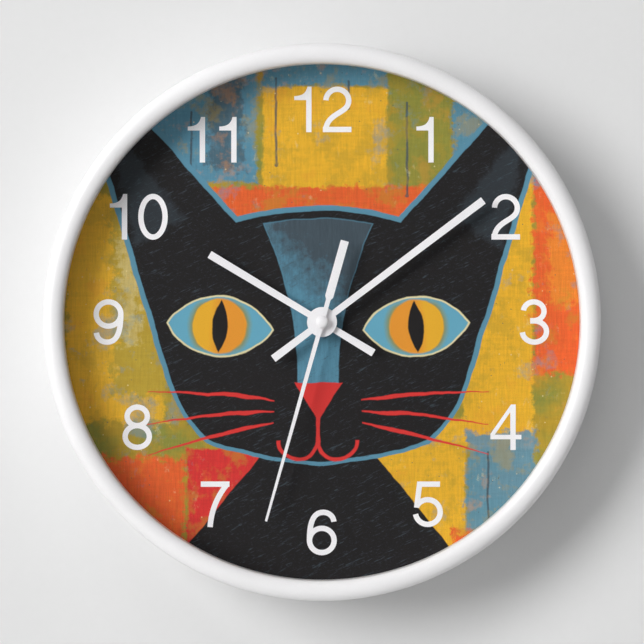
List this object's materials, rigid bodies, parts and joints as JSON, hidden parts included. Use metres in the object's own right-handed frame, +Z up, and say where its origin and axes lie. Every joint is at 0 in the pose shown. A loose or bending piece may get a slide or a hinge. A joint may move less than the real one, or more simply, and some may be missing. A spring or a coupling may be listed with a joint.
{
  "type": "wall clock",
  "caption": "Round wall clock with a rounded rim, clear lens, printed dial, baton hands and a battery quartz movement with its gear train.",
  "frame": {"origin": "centre of the case, on the hands' axis, halfway between the wall and the front of the rim", "axes": "+Z up to 12 o'clock, +X right as the dial is read, +Y into the wall; the dial faces -Y"},
  "size_m": [0.254, 0.041, 0.254],
  "materials": {
    "white_plastic": "satin white moulded plastic",
    "lens": "clear polished plastic",
    "print": "printed sheet, satin laminate",
    "hand_white": "satin white paint",
    "black_plastic": "fine sparked black plastic",
    "ivory_plastic": "natural acetal",
    "steel": "plated steel",
    "brass": "turned brass",
    "copper": "enamelled copper wire",
    "magnet": "sintered magnet, bare",
    "board": "green solder mask",
    "rubber": "matte black rubber",
    "cell": "shrink sleeve on a steel can"
  },
  "bodies": {
    "clock_body": {"rim": "white_plastic", "lens": "lens", "spacer_ring": "white_plastic", "dial": "print", "back_cover": "white_plastic", "hanging_plate": "steel", "dial_washer": "rubber", "dial_nut": "brass", "movement_rear_case": "black_plastic", "movement_front_cover": "black_plastic", "train_plate": "ivory_plastic", "stator": "steel", "coil_bobbin": "ivory_plastic", "coil_winding": "copper", "circuit_board": "board", "chip": "black_plastic", "quartz_crystal": "steel", "battery": "cell", "positive_contact": "steel", "negative_contact": "steel", "cover_screw_1": "steel", "cover_screw_2": "steel", "cover_screw_3": "steel", "cover_screw_4": "steel", "cover_screw_5": "steel", "cover_screw_6": "steel", "hanger_screw_left": "steel", "hanger_screw_right": "steel"},
    "minute_arbor": {"minute_tube": "brass", "centre_wheel": "ivory_plastic", "minute_hand": "hand_white"},
    "seconds_train": {"seconds_wheel": "ivory_plastic", "seconds_arbor": "steel", "second_hand": "hand_white", "second_hand_cap": "hand_white"},
    "hour_tube": {"hour_wheel": "ivory_plastic", "hour_hand": "hand_white"},
    "third": {"third_wheel": "ivory_plastic"},
    "intermediate": {"intermediate_wheel": "ivory_plastic"},
    "rotor": {"rotor_pinion": "ivory_plastic", "rotor_magnet": "magnet"},
    "motion": {"motion_wheel": "ivory_plastic"},
    "knob": {"setting_knob": "black_plastic"}
  },
  "joints": [
    {"name": "minute_spin", "type": "hinge", "parent": "clock_body", "child": "minute_arbor", "pos_m": [0, 0.01, 0], "axis": [0, 1, 0], "continuous": true},
    {"name": "second_spin", "type": "hinge", "parent": "clock_body", "child": "seconds_train", "pos_m": [0, 0.01, 0], "axis": [0, 1, 0], "continuous": true},
    {"name": "hour_spin", "type": "hinge", "parent": "clock_body", "child": "hour_tube", "pos_m": [0, 0.01, 0], "axis": [0, 1, 0], "continuous": true},
    {"name": "third_spin", "type": "hinge", "parent": "clock_body", "child": "third", "pos_m": [-0.01005, 0.01, 0.00177], "axis": [0, 1, 0], "continuous": true},
    {"name": "intermediate_spin", "type": "hinge", "parent": "clock_body", "child": "intermediate", "pos_m": [0.00897, 0.01, 0.00518], "axis": [0, 1, 0], "continuous": true},
    {"name": "rotor_spin", "type": "hinge", "parent": "clock_body", "child": "rotor", "pos_m": [0.01449, 0.01, 0.00981], "axis": [0, 1, 0], "continuous": true},
    {"name": "motion_spin", "type": "hinge", "parent": "clock_body", "child": "motion", "pos_m": [0.00146, 0.01, 0.00827], "axis": [0, 1, 0], "continuous": true},
    {"name": "setting_spin", "type": "hinge", "parent": "clock_body", "child": "knob", "pos_m": [-0.00141, 0.01, 0.01617], "axis": [0, 1, 0], "continuous": true}
  ],
  "couplings": [
    {"joint": "second_spin", "follows": "minute_spin", "ratio": 60},
    {"joint": "hour_spin", "follows": "minute_spin", "ratio": 0.083333},
    {"joint": "third_spin", "follows": "minute_spin", "ratio": -8},
    {"joint": "intermediate_spin", "follows": "minute_spin", "ratio": -360},
    {"joint": "rotor_spin", "follows": "minute_spin", "ratio": 1800},
    {"joint": "motion_spin", "follows": "minute_spin", "ratio": -0.33333},
    {"joint": "setting_spin", "follows": "minute_spin", "ratio": 1}
  ]
}
